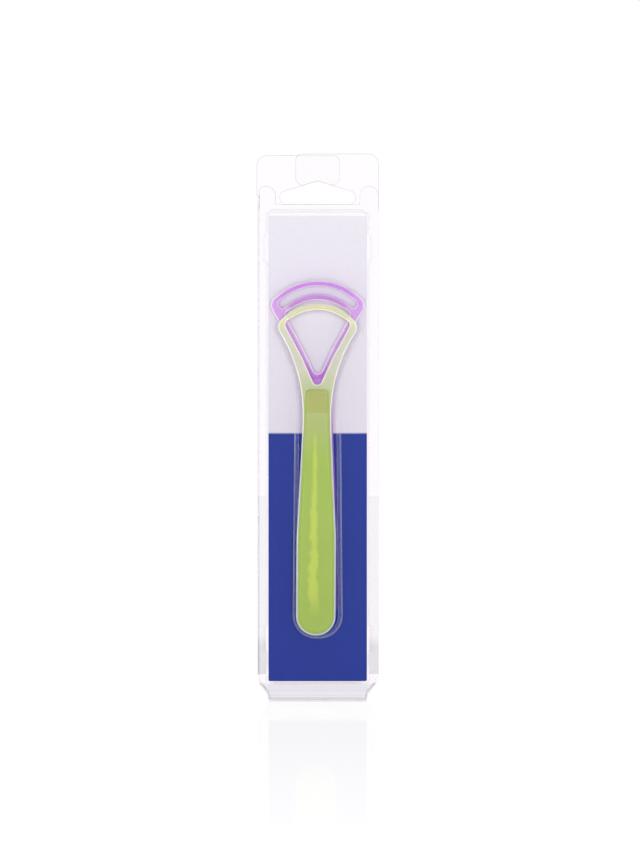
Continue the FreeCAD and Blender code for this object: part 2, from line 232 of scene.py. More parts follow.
def add_node(tree, kind, inputs=None, **settings):
    """Adds a node with its settings; an input is a value, or the socket or node that it is linked from."""
    made = tree.nodes.new(kind)
    for name, value in settings.items():
        setattr(made, name, value)
    for name, value in (inputs or {}).items():
        if isinstance(value, bpy.types.Node):
            value = next(output for output in value.outputs if output.enabled)
        if isinstance(value, bpy.types.NodeSocket):
            tree.links.new(value, made.inputs[name])
        else:
            made.inputs[name].default_value = value
    return made


def new_material(name):
    """An empty material and its node tree."""
    material = bpy.data.materials.new(name)
    material.use_nodes = True
    material.node_tree.nodes.clear()
    return material, material.node_tree


def seen_ray(tree):
    """One for rays that show the background: straight to the camera, or by way of gloss or glass."""
    ray = add_node(tree, "ShaderNodeLightPath").outputs
    seen = add_node(tree, MATH, {0: ray["Is Camera Ray"], 1: ray["Is Glossy Ray"]}, operation="MAXIMUM")
    return add_node(tree, MATH, {0: seen, 1: ray["Is Transmission Ray"]}, operation="MAXIMUM")


def dress(node_name, material):
    """Puts a material in all the slots of a node of the frame."""
    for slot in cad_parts[node_name].material_slots:
        slot.material = material


class SheetSettings(bpy.types.PropertyGroup):
    """Clear sheet of the pack"""

    tint: FloatVectorProperty(
        name="Tint", description="What one face of the sheet lets through", subtype="COLOR",
        default=linear("#FFFEFF"), min=0, max=1,
    )
    # Painted shade: the sheet's greyer tint on the rim beside the foot and on the foot
    shaded: FloatVectorProperty(
        name="Shaded", description="What one face lets through beside the foot, where the sheet is drawn",
        subtype="COLOR", default=linear("#F7F6F8"), min=0, max=1,
    )
    shade_height: FloatProperty(
        name="Drawn height", description="Height up to which the sheet is drawn beside the foot",
        subtype="DISTANCE", default=28 * MM, min=0,
    )
    # Painted edge lines: pale grey on the rim's bends and cuts, shade over white and a glint over dark
    # print; near white over the panel, a painted highlight; dark grey on the cut edges, painted shade
    edge: FloatVectorProperty(
        name="Edge", description="Colour where the sheet bends or is cut on the rim", subtype="COLOR",
        default=linear("#E9E7EE"), min=0, max=1,
    )
    panel_highlight: FloatVectorProperty(
        name="Panel edge", description="Colour where the sheet bends over the panel", subtype="COLOR",
        default=linear("#FDFCFF"), min=0, max=1,
    )
    cut_edge_shade: FloatVectorProperty(
        name="Cut edge", description="Colour of the cut edges of the hooks and the foot", subtype="COLOR",
        default=linear("#9C98A4"), min=0, max=1,
    )
    edge_width: FloatProperty(
        name="Edge width", description="How far the colour of an edge reaches", subtype="DISTANCE",
        default=0.4 * MM, min=0,
    )
    edge_strength: FloatProperty(
        name="Edge strength", description="How much an edge of the rim hides what is behind it",
        subtype="FACTOR", default=0.15, min=0, max=1,
    )
    panel_strength: FloatProperty(
        name="Panel strength", description="How much an edge over the panel hides what is behind it",
        subtype="FACTOR", default=0.85, min=0, max=1,
    )
    cut_strength: FloatProperty(
        name="Cut strength", description="How much a cut edge hides what is behind it", subtype="FACTOR",
        default=0.55, min=0, max=1,
    )
    wave: FloatProperty(
        name="Wave", description="Length of the soft waves that forming leaves", subtype="DISTANCE",
        default=14 * MM, min=0,
    )


class FoldSettings(bpy.types.PropertyGroup):
    """Folded stretch of sheet between the halves"""

    thickness: FloatProperty(
        name="Thickness", description="Thickness of the scored sheet", subtype="DISTANCE",
        default=0.25 * MM, min=0,
    )
    overlap: FloatProperty(
        name="Overlap", description="How far the fold runs on to each half", subtype="DISTANCE",
        default=0.65 * MM, min=0,
    )


class CardSettings(bpy.types.PropertyGroup):
    """Printed card"""

    pale: FloatVectorProperty(
        name="Pale field", description="Colour of the upper field at its top", subtype="COLOR",
        default=linear("#E4E4EA"), min=0, max=1,
    )
    faded: FloatVectorProperty(
        name="Faded field", description="Colour of the upper field at its foot", subtype="COLOR",
        default=linear("#DAD8E0"), min=0, max=1,
    )
    deep: FloatVectorProperty(
        name="Deep field", description="Colour of the lower field", subtype="COLOR",
        default=linear("#19328F"), min=0, max=1,
    )
    board: FloatVectorProperty(
        name="Board", description="Colour of the unprinted back and cut edges", subtype="COLOR",
        default=linear("#E4E2DD"), min=0, max=1,
    )
    line_height: FloatProperty(
        name="Line height", description="Height where the two fields meet", subtype="DISTANCE",
        default=114.8 * MM, min=0,
    )
    fibre: FloatProperty(
        name="Fibre", description="Size of the mottle in the board", subtype="DISTANCE",
        default=0.8 * MM, min=0,
    )


class LimeSettings(bpy.types.PropertyGroup):
    """Single-edged scraper"""

    grip: FloatVectorProperty(
        name="Grip", description="Colour of the raised grip at its foot", subtype="COLOR",
        default=linear("#A9C360"), min=0, max=1,
    )
    grip_neck: FloatVectorProperty(
        name="Grip neck", description="Colour of the raised grip where the handle is narrow",
        subtype="COLOR", default=linear("#B9C585"), min=0, max=1,
    )
    grip_top: FloatVectorProperty(
        name="Grip top", description="Colour of the last stretch of the grip", subtype="COLOR",
        default=linear("#B3BC70"), min=0, max=1,
    )
    ledge: FloatVectorProperty(
        name="Ledge", description="Colour of the handle beside the grip", subtype="COLOR",
        default=linear("#B4CA7E"), min=0, max=1,
    )
    arm: FloatVectorProperty(
        name="Arm", description="Colour of the arms", subtype="COLOR",
        default=linear("#D2D4C2"), min=0, max=1,
    )
    crown: FloatVectorProperty(
        name="Crown", description="Colour of the crown", subtype="COLOR",
        default=linear("#DEE2B8"), min=0, max=1,
    )
    lip: FloatVectorProperty(
        name="Lip", description="Colour of the scraping lip", subtype="COLOR",
        default=linear("#D9DFA6"), min=0, max=1,
    )
    # The rims are painted highlights along the thin chamfers, partly the paling of thin translucent
    # plastic; on the handle they are a bluish-white painted highlight
    rim: FloatVectorProperty(
        name="Rim", description="Colour of the hoop's thin rims", subtype="COLOR",
        default=linear("#F6F7E8"), min=0, max=1,
    )
    handle_rim: FloatVectorProperty(
        name="Handle rim", description="Colour of the handle's thin rims", subtype="COLOR",
        default=linear("#C8D2E6"), min=0, max=1,
    )
    contact: FloatVectorProperty(
        name="Contact", description="Colour where the two handles press together", subtype="COLOR",
        default=linear("#C2D464"), min=0, max=1,
    )


class LilacSettings(bpy.types.PropertyGroup):
    """Double-edged scraper"""

    grip: FloatVectorProperty(
        name="Grip", description="Colour of the raised grip", subtype="COLOR",
        default=linear("#8468C0"), min=0, max=1,
    )
    # The ledge's dark colour, taken by the lower handle and its rims, is painted shade
    ledge: FloatVectorProperty(
        name="Ledge", description="Colour of the handle beside the grip", subtype="COLOR",
        default=linear("#634E9E"), min=0, max=1,
    )
    crotch: FloatVectorProperty(
        name="Crotch", description="Colour where the arms part", subtype="COLOR",
        default=linear("#C67EE4"), min=0, max=1,
    )
    arm: FloatVectorProperty(
        name="Arm", description="Colour of the arms", subtype="COLOR",
        default=linear("#DAB2EC"), min=0, max=1,
    )
    crown: FloatVectorProperty(
        name="Crown", description="Colour of the crown", subtype="COLOR",
        default=linear("#D4A4E7"), min=0, max=1,
    )
    lip: FloatVectorProperty(
        name="Lip", description="Colour of the scraping lips", subtype="COLOR",
        default=linear("#CD92E6"), min=0, max=1,
    )
    # The rims are painted highlights along the thin chamfers, partly the paling of thin translucent plastic
    rim: FloatVectorProperty(
        name="Rim", description="Colour of the hoop's thin rims", subtype="COLOR",
        default=linear("#F8EDFC"), min=0, max=1,
    )


class PlasticSettings(bpy.types.PropertyGroup):
    """Moulded plastic of both scrapers"""

    depth: FloatProperty(
        name="Depth", description="How far light wanders inside the plastic", subtype="DISTANCE",
        default=2 * MM, min=0,
    )
    round_edge: FloatProperty(
        name="Round edge", description="Radius of the moulded edges", subtype="DISTANCE",
        default=0.4 * MM, min=0,
    )
    contact_width: FloatProperty(
        name="Contact width", description="Half the width of the band where the handles press together",
        subtype="DISTANCE", default=1.1 * MM, min=0,
    )


class StageSettings(bpy.types.PropertyGroup):
    """Floor, light and camera"""

    distance: FloatProperty(
        name="Distance", description="From the camera to the pack", subtype="DISTANCE",
        default=2.4, min=0.1,
    )
    view_height: FloatProperty(
        name="View height", description="Height of the view at the pack", subtype="DISTANCE",
        default=366.8 * MM, min=0.01,
    )
    aim: FloatVectorProperty(
        name="Aim", description="Point that the camera looks at", subtype="XYZ", unit="LENGTH",
        default=(1.0 * MM, -4 * MM, 117.9 * MM),
    )
    tilt: FloatProperty(
        name="Tilt", description="How far the camera looks down", subtype="ANGLE",
        default=math.radians(1.2),
    )
    lamp_power: FloatProperty(
        name="Lamp power", description="Power of each of the two side lamps", unit="POWER",
        default=3.75, min=0,
    )


class PackSettings(bpy.types.PropertyGroup):
    """All settings of the pack"""

    sheet: PointerProperty(type=SheetSettings)
    fold: PointerProperty(type=FoldSettings)
    card: PointerProperty(type=CardSettings)
    lime: PointerProperty(type=LimeSettings)
    lilac: PointerProperty(type=LilacSettings)
    plastic: PointerProperty(type=PlasticSettings)
    stage: PointerProperty(type=StageSettings)


def graded(tree, height, stops):
    """A colour that changes with height, from stops of a height and a colour, the lowest first."""
    lowest = stops[0][0]
    highest = stops[-1][0]
    place = add_node(tree, MAP_RANGE, {"Value": height, "From Min": lowest, "From Max": highest})
    grade = add_node(tree, "ShaderNodeValToRGB", {"Fac": place})
    elements = grade.color_ramp.elements
    while len(elements) < len(stops):
        elements.new(1.0)
    for element, (level, colour) in zip(elements, stops):
        element.position = (level - lowest) / (highest - lowest)
        element.color = opaque(colour)
    return grade


def sheet_shade_masks(tree, place, sheet):
    """How much painted shade the sheet takes at a place, where its edges look cut, and where its flat rim
    is.
    """
    axes = add_node(tree, SEPARATE, {"Vector": place}).outputs
    height = axes["Z"]
    across = add_node(tree, MATH, {0: axes["X"]}, operation="ABSOLUTE")
    rim_line = CAD_HIGH.x - RIM_WIDTH
    rim = add_node(
        tree, MAP_RANGE, {"Value": across, "From Min": rim_line, "From Max": rim_line + RIM_BORDER}
    )
    low = add_node(
        tree, MAP_RANGE,
        {
            "Value": height,
            "From Min": sheet.shade_height,
            "From Max": sheet.shade_height - SHADE_FADE,
            "To Min": RIM_SHADE,
        },
    )
    above_foot = add_node(tree, MATH, {0: height, 1: FOOT_FACET_HEIGHT}, operation="GREATER_THAN")
    below_shade_top = add_node(tree, MATH, {0: height, 1: RIM_SHADE_TOP}, operation="LESS_THAN")
    band = add_node(tree, MATH, {0: above_foot, 1: below_shade_top}, operation="MULTIPLY")
    low_rim = add_node(tree, MATH, {0: low, 1: rim}, operation="MULTIPLY")
    beside = add_node(tree, MATH, {0: low_rim, 1: band}, operation="MULTIPLY")
    foot = add_node(tree, MATH, {0: height, 1: FOOT_LIP_HEIGHT}, operation="LESS_THAN")
    shaded_foot = add_node(tree, MATH, {0: foot, 1: FOOT_SHADE}, operation="MULTIPLY")
    shaded = add_node(tree, MATH, {0: beside, 1: shaded_foot}, operation="MAXIMUM")
    hooks = add_node(tree, MATH, {0: height, 1: HOOK_HEIGHT}, operation="GREATER_THAN")
    cut = add_node(tree, MATH, {0: foot, 1: hooks}, operation="MAXIMUM")
    return shaded, cut, rim


def clear_sheet(name, sheet, glancing, panel_strength, edge_strength, cut_strength):
    """Formed PET: near colourless gloss sheet, with a painted highlight where it bends over the panel,
    painted grey lines on the rim's edges, painted shade on the cut edges, and a greyer tint of painted
    shade beside the foot and on the foot.
    """
    material, tree = new_material(name)
    place = add_node(tree, "ShaderNodeTexCoord").outputs["Object"]
    surface = add_node(tree, "ShaderNodeNewGeometry").outputs
    lamp_ray = add_node(tree, "ShaderNodeLightPath").outputs["Is Shadow Ray"]
    shaded, cut, rim = sheet_shade_masks(tree, place, sheet)

    # The face lets most light through; its gloss grows as it slants, and back faces and lamp rays get none
    # Beside the foot and on the foot the tint goes greyer, which is painted shade
    tint = add_node(
        tree, MIX, {"Factor": shaded, MIX_FIRST: opaque(sheet.tint), MIX_SECOND: opaque(sheet.shaded)},
        data_type="RGBA",
    )
    through = add_node(tree, "ShaderNodeBsdfTransparent", {"Color": tint})
    rounded = add_node(tree, "ShaderNodeBevel", {"Radius": sheet.edge_width}, samples=6)
    waves = add_node(tree, NOISE, {"Vector": place, "Scale": 1 / sheet.wave, "Detail": 2.0})
    bump = add_node(
        tree, "ShaderNodeBump",
        {"Strength": 0.05, "Distance": 0.3 * MM, "Height": waves, "Normal": rounded},
    )
    shine = add_node(tree, "ShaderNodeBsdfGlossy", {"Roughness": 0.06, "Normal": bump})
    weight = add_node(tree, "ShaderNodeLayerWeight", {"Blend": 0.5, "Normal": surface["True Normal"]})
    steep = add_node(tree, MAP_RANGE, {"Value": cut, "To Min": glancing, "To Max": FOOT_GLOSS})
    gloss = add_node(
        tree, MAP_RANGE, {"Value": weight.outputs["Facing"], "To Min": FACE_GLOSS, "To Max": steep}
    )
    passing = add_node(tree, MATH, {0: surface["Backfacing"], 1: lamp_ray}, operation="MAXIMUM")
    glossy_ray = add_node(tree, MATH, {0: 1.0, 1: passing}, operation="SUBTRACT")
    front_gloss = add_node(tree, MATH, {0: gloss, 1: glossy_ray}, operation="MULTIPLY")
    face = add_node(tree, MIX_SHADER, {"Fac": front_gloss, 1: through, 2: shine})

    # An edge shows where its rounded normal turns away from the face, and lamp rays pass it too; its colour
    # is painted light, a highlight over the panel, grey lines on the rim and shade on the cut edges
    same = add_node(tree, VECTOR_MATH, {0: rounded, 1: surface["Normal"]}, operation="DOT_PRODUCT")
    turned = add_node(tree, MAP_RANGE, {"Value": same, "From Min": TURN_BEGIN, "From Max": TURN_FULL})
    formed = add_node(tree, MAP_RANGE, {"Value": rim, "To Min": panel_strength, "To Max": edge_strength})
    strength = add_node(tree, MAP_RANGE, {"Value": cut, "To Min": formed, "To Max": cut_strength})
    shown = add_node(tree, MATH, {0: turned, 1: strength}, operation="MULTIPLY")
    other_ray = add_node(tree, MATH, {0: 1.0, 1: lamp_ray}, operation="SUBTRACT")
    on_edge = add_node(tree, MATH, {0: shown, 1: other_ray}, operation="MULTIPLY")
    bend_colour = add_node(
        tree, MIX, {"Factor": rim, MIX_FIRST: opaque(sheet.panel_highlight), MIX_SECOND: opaque(sheet.edge)},
        data_type="RGBA",
    )
    edge_colour = add_node(
        tree, MIX, {"Factor": cut, MIX_FIRST: bend_colour, MIX_SECOND: opaque(sheet.cut_edge_shade)},
        data_type="RGBA",
    )
    edge = add_node(
        tree, "ShaderNodeBsdfPrincipled",
        {"Base Color": edge_colour, "Roughness": 0.3, "IOR": 1.57, "Normal": rounded},
    )
    whole = add_node(tree, MIX_SHADER, {"Fac": on_edge, 1: face, 2: edge})
    add_node(tree, "ShaderNodeOutputMaterial", {"Surface": whole})
    return material


def printed_card(card):
    """Coated board: two printed fields with a faint mottle under a satin varnish, bare board elsewhere."""
    material, tree = new_material("coated board")
    coordinates = add_node(tree, "ShaderNodeTexCoord").outputs
    place = coordinates["Object"]
    height = add_node(tree, SEPARATE, {"Vector": place}).outputs["Z"]
    facing = add_node(tree, SEPARATE, {"Vector": coordinates["Normal"]}).outputs["Y"]
    front = add_node(tree, MATH, {0: facing, 1: CARD_FRONT}, operation="LESS_THAN")
    low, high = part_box("insert_card")
    line = card.line_height
    fields = graded(
        tree, height, [(low.z, card.deep), (line, card.deep), (line, card.faded), (high.z, card.pale)]
    )
    sides = add_node(
        tree, MIX, {"Factor": front, MIX_FIRST: opaque(card.board), MIX_SECOND: fields}, data_type="RGBA"
    )
    fibre = add_node(tree, NOISE, {"Vector": place, "Scale": 1 / card.fibre, "Detail": 4.0})
    mottle = add_node(tree, MAP_RANGE, {"Value": fibre, "To Min": 0.94, "To Max": 1.06})
    colour = add_node(tree, VECTOR_MATH, {0: sides, "Scale": mottle}, operation="SCALE")
    varnish = add_node(tree, MAP_RANGE, {"Value": fibre, "To Min": 0.4, "To Max": 0.6})
    bump = add_node(tree, "ShaderNodeBump", {"Strength": 0.1, "Distance": 0.02 * MM, "Height": fibre})
    board = add_node(
        tree, "ShaderNodeBsdfPrincipled",
        {
            "Base Color": colour,
            "Roughness": varnish,
            "IOR": 1.45,
            "Specular IOR Level": 0.2,
            "Normal": bump,
        },
    )
    add_node(tree, "ShaderNodeOutputMaterial", {"Surface": board})
    return material


def pressed_band(tree, place, width):
    """The ragged upright band on a grip where the scraper behind presses against it."""
    axes = add_node(tree, SEPARATE, {"Vector": place}).outputs
    height = axes["Z"]
    rags = add_node(tree, NOISE, {"Vector": place, "Scale": 1 / BAND_RAGS, "Detail": 4.0})
    ragged = add_node(
        tree, MAP_RANGE,
        {
            "Value": rags,
            "From Min": NOISE_LOW,
            "From Max": NOISE_HIGH,
            "To Min": RAGS_LEAST,
            "To Max": RAGS_MOST,
        },
    )
    widening = add_node(
        tree, MAP_RANGE,
        {
            "Value": height,
            "From Min": BAND_TOP,
            "From Max": BAND_WIDEST,
            "To Min": BAND_TOP_SHARE * width,
            "To Max": BAND_WIDEST_SHARE * width,
        },
    )
    shift = add_node(
        tree, MAP_RANGE,
        {
            "Value": height,
            "From Min": BAND_TOP,
            "From Max": BAND_WIDEST,
            "To Min": BAND_TOP_SHIFT,
            "To Max": BAND_WIDEST_SHIFT,
        },
    )
    side = add_node(tree, MATH, {0: ragged, 1: widening}, operation="MULTIPLY")
    from_middle = add_node(tree, MATH, {0: axes["X"], 1: shift}, operation="ADD")
    aside = add_node(tree, MATH, {0: from_middle}, operation="ABSOLUTE")
    within = add_node(tree, MATH, {0: side, 1: aside}, operation="SUBTRACT")
    inside = add_node(tree, MAP_RANGE, {"Value": within, "From Min": -BAND_REACH, "From Max": BAND_FULL})
    low = add_node(
        tree, MAP_RANGE, {"Value": height, "From Min": BAND_FOOT, "From Max": BAND_FOOT + BAND_FOOT_FADE}
    )
    high = add_node(
        tree, MAP_RANGE, {"Value": height, "From Min": BAND_TOP, "From Max": BAND_TOP - BAND_TOP_FADE}
    )
    upright = add_node(tree, MATH, {0: low, 1: high}, operation="MULTIPLY")
    return add_node(tree, MATH, {0: inside, 1: upright}, operation="MULTIPLY")


def off_slot(tree, axes, slot):
    """One, but less on the rims of a crescent slot, given as its middle, inner and outer radius."""
    middle, inner, outer = slot
    rise = add_node(tree, MATH, {0: axes["Z"], 1: middle}, operation="SUBTRACT")
    from_middle = add_node(tree, "ShaderNodeCombineXYZ", {"X": axes["X"], "Z": rise})
    distance = add_node(tree, VECTOR_MATH, {0: from_middle}, operation="LENGTH")
    upward = add_node(tree, MATH, {0: rise, 1: distance}, operation="DIVIDE")
    above_arms = add_node(tree, MATH, {0: upward, 1: SLOT_REACH}, operation="GREATER_THAN")
    past_inner = add_node(tree, MATH, {0: distance, 1: inner}, operation="GREATER_THAN")
    before_outer = add_node(tree, MATH, {0: distance, 1: outer}, operation="LESS_THAN")
    within = add_node(tree, MATH, {0: past_inner, 1: before_outer}, operation="MULTIPLY")
    on_slot = add_node(tree, MATH, {0: within, 1: above_arms}, operation="MULTIPLY")
    return add_node(tree, MAP_RANGE, {"Value": on_slot, "To Min": 1.0, "To Max": SLOT_RIM})


def front_chamfers(tree, normal, depth):
    """One on the narrow chamfers round the front of a scraper's sunk faces, which are its thin rims."""
    to_front = add_node(tree, MATH, {0: normal, 1: -1.0}, operation="MULTIPLY")
    off_flat = add_node(
        tree, MAP_RANGE, {"Value": to_front, "From Min": CHAMFER_FIRST, "From Max": CHAMFER_FULL}
    )
    off_side = add_node(
        tree, MAP_RANGE, {"Value": to_front, "From Min": CHAMFER_LAST, "From Max": CHAMFER_FADING}
    )
    slanting = add_node(tree, MATH, {0: off_flat, 1: off_side}, operation="MULTIPLY")
    sunk = add_node(tree, MAP_RANGE, {"Value": depth, "From Min": SUNK_BEGIN, "From Max": SUNK_FULL})
    return add_node(tree, MATH, {0: slanting, 1: sunk}, operation="MULTIPLY")


def moulded_plastic(name, node_name, hoop, lip, grip, rim, plastic, contact=None, slot=None):
    """Translucent polypropylene: milky, deep on the grip, paler on the hoop, palest on its rims, whose pale
    colour is a painted highlight and partly the paling of thin plastic.
    """
    material, tree = new_material(name)
    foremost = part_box(node_name)[0].y
    coordinates = add_node(tree, "ShaderNodeTexCoord").outputs
    place = coordinates["Object"]
    axes = add_node(tree, SEPARATE, {"Vector": place}).outputs
    height = axes["Z"]
    depth = add_node(tree, MATH, {0: axes["Y"], 1: foremost}, operation="SUBTRACT")
    raised = add_node(tree, MAP_RANGE, {"Value": depth, "From Min": RAISED_END, "From Max": RAISED_FULL})

    # The raised grip, the raised lip and the rims each have their own colour on top of the hoop's; the
    # rims' colour is a painted highlight, partly the paling of thin plastic
    below_top = add_node(tree, MATH, {0: height, 1: GRIP_HEIGHT}, operation="LESS_THAN")
    on_grip = add_node(tree, MATH, {0: raised, 1: below_top}, operation="MULTIPLY")
    grip_colour = graded(tree, height, grip)
    if contact:
        band = pressed_band(tree, place, plastic.contact_width)
        grip_colour = add_node(
            tree, MIX, {"Factor": band, MIX_FIRST: grip_colour, MIX_SECOND: opaque(contact)},
            data_type="RGBA",
        )
    on_lip = add_node(tree, MATH, {0: raised, 1: on_grip}, operation="SUBTRACT")
    hoop_colour = add_node(
        tree, MIX, {"Factor": on_lip, MIX_FIRST: graded(tree, height, hoop), MIX_SECOND: opaque(lip)},
        data_type="RGBA",
    )
    face_colour = add_node(
        tree, MIX, {"Factor": on_grip, MIX_FIRST: hoop_colour, MIX_SECOND: grip_colour}, data_type="RGBA"
    )
    normal = add_node(tree, SEPARATE, {"Vector": coordinates["Normal"]}).outputs["Y"]
    on_rim_highlight = front_chamfers(tree, normal, depth)
    if slot:
        faded = off_slot(tree, axes, slot)
        on_rim_highlight = add_node(tree, MATH, {0: on_rim_highlight, 1: faded}, operation="MULTIPLY")
    colour = add_node(
        tree, MIX, {"Factor": on_rim_highlight, MIX_FIRST: face_colour, MIX_SECOND: graded(tree, height, rim)},
        data_type="RGBA",
    )

    # Slow flow marks in the colour, and a fine grain in the satin surface with its rounded edges
    flow = add_node(tree, NOISE, {"Vector": place, "Scale": 1 / FLOW_MARKS, "Detail": 1.0})
    shade = add_node(tree, MAP_RANGE, {"Value": flow, "To Min": 0.95, "To Max": 1.05})
    body = add_node(tree, VECTOR_MATH, {0: colour, "Scale": shade}, operation="SCALE")
    rounded = add_node(tree, "ShaderNodeBevel", {"Radius": plastic.round_edge}, samples=6)
    grain = add_node(tree, NOISE, {"Vector": place, "Scale": 1 / GRAIN, "Detail": 3.0})
    satin = add_node(tree, MAP_RANGE, {"Value": grain, "To Min": 0.26, "To Max": 0.42})
    bump = add_node(
        tree, "ShaderNodeBump",
        {"Strength": 0.08, "Distance": 0.05 * MM, "Height": grain, "Normal": rounded},
    )
    milky = add_node(
        tree, "ShaderNodeBsdfPrincipled",
        {
            "Base Color": body,
            "Roughness": satin,
            "IOR": 1.49,
            "Specular IOR Level": 0.15,
            "Subsurface Weight": 1.0,
            "Subsurface Radius": (1.0, 1.0, 1.0),
            "Subsurface Scale": plastic.depth,
            "Normal": bump,
        },
    )
    add_node(tree, "ShaderNodeOutputMaterial", {"Surface": milky})
    return material


def stage_floor():
    """Polished white board: white to the eye, with a soft shadow and a faint mirror image near the pack."""
    material, tree = new_material("polished white board")
    place = add_node(tree, "ShaderNodeTexCoord").outputs["Object"]
    ahead = add_node(tree, SEPARATE, {"Vector": place}).outputs["Y"]
    mirror = add_node(
        tree, MAP_RANGE,
        {
            "Value": ahead,
            "From Min": MIRROR_FAR,
            "From Max": MIRROR_NEAR,
            "To Min": MIRROR_FAR_SHARE,
            "To Max": MIRROR_NEAR_SHARE,
        },
    )
    matt = add_node(tree, "ShaderNodeBsdfDiffuse", {"Color": opaque(linear("#F3F3F3"))})
    white = add_node(
        tree, "ShaderNodeEmission", {"Color": opaque(linear("#FFFFFF")), "Strength": FLOOR_GLOW}
    )
    shadowed = add_node(tree, MIX_SHADER, {"Fac": FLOOR_SHADOW, 1: white, 2: matt})
    shine = add_node(tree, "ShaderNodeBsdfGlossy", {"Roughness": 0.05})
    seen = add_node(tree, MIX_SHADER, {"Fac": mirror, 1: shadowed, 2: shine})
    whole = add_node(tree, MIX_SHADER, {"Fac": seen_ray(tree), 1: matt, 2: seen})
    add_node(tree, "ShaderNodeOutputMaterial", {"Surface": whole})
    return material


def select_edges(mesh, wanted):
    """Leaves only the edges selected whose two ends are both wanted."""
    for part in (*mesh.vertices, *mesh.edges, *mesh.polygons):
        part.select = False
    for vertex in mesh.vertices:
        vertex.select = wanted(vertex.co)
    for edge in mesh.edges:
        edge.select = all(mesh.vertices[index].select for index in edge.vertices)


class SCRAPERPACK_OT_shells(bpy.types.Operator):
    """Give both halves of the pack their clear sheet"""

    bl_idname = "scraper_pack.shells"
    bl_label = "Clear halves"

    def execute(self, context):
        sheet = context.scene.scraper_pack.sheet
        look = clear_sheet(
            "clear PET sheet", sheet, GLANCING_GLOSS,
            panel_strength=sheet.panel_strength,
            edge_strength=sheet.edge_strength,
            cut_strength=sheet.cut_strength,
        )
        dress("front_shell", look)
        dress("back_shell", look)
        return {"FINISHED"}


class SCRAPERPACK_OT_fold(bpy.types.Operator):
    """Bend the strip of sheet that joins the two halves"""

    bl_idname = "scraper_pack.fold"
    bl_label = "Fold"

    def execute(self, context):
        fold = context.scene.scraper_pack.fold
        low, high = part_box("fold_hinge")
        axis = (low + high) / 2
        radius = axis.x - low.x - fold.thickness / 2
        middle = axis.x + fold.overlap / 2
        bpy.ops.object.select_all(action="DESELECT")
        bpy.ops.mesh.primitive_plane_add(
            size=1, location=(middle, axis.y - radius, axis.z), rotation=(math.pi / 2, 0, 0)
        )
        strip = context.object
        strip.name = "fold_strip"
        strip.scale = (fold.overlap, high.z - low.z, 1)
        bpy.ops.object.transform_apply(location=True, rotation=True, scale=True)
        select_edges(strip.data, lambda place: place.x < middle)
        bpy.ops.object.mode_set(mode="EDIT")
        bpy.ops.mesh.select_mode(type="EDGE")
        bpy.ops.mesh.spin(steps=FOLD_STEPS, angle=-math.pi, center=axis, axis=(0, 0, 1))
        bpy.ops.mesh.extrude_region_move(TRANSFORM_OT_translate={"value": (fold.overlap, 0, 0)})
        bpy.ops.mesh.select_all(action="SELECT")
        bpy.ops.mesh.remove_doubles(threshold=MERGE_DISTANCE)
        bpy.ops.mesh.normals_make_consistent(inside=False)
        bpy.ops.object.mode_set(mode="OBJECT")
        wall = strip.modifiers.new("wall", "SOLIDIFY")
        wall.thickness = fold.thickness
        wall.offset = 0
        bpy.ops.object.modifier_apply(modifier=wall.name)
        bpy.ops.object.shade_smooth_by_angle(angle=SMOOTH_ANGLE)
        sheet = context.scene.scraper_pack.sheet
        faint = sheet.edge_strength / 2
        look = clear_sheet("folded PET sheet", sheet, FOLD_GLOSS, faint, faint, faint)
        strip.data.materials.append(look)
        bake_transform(strip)
        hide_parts("fold_hinge")
        return {"FINISHED"}


class SCRAPERPACK_OT_card(bpy.types.Operator):
    """Print the card"""

    bl_idname = "scraper_pack.card"
    bl_label = "Card"

    def execute(self, context):
        dress("insert_card", printed_card(context.scene.scraper_pack.card))
        return {"FINISHED"}


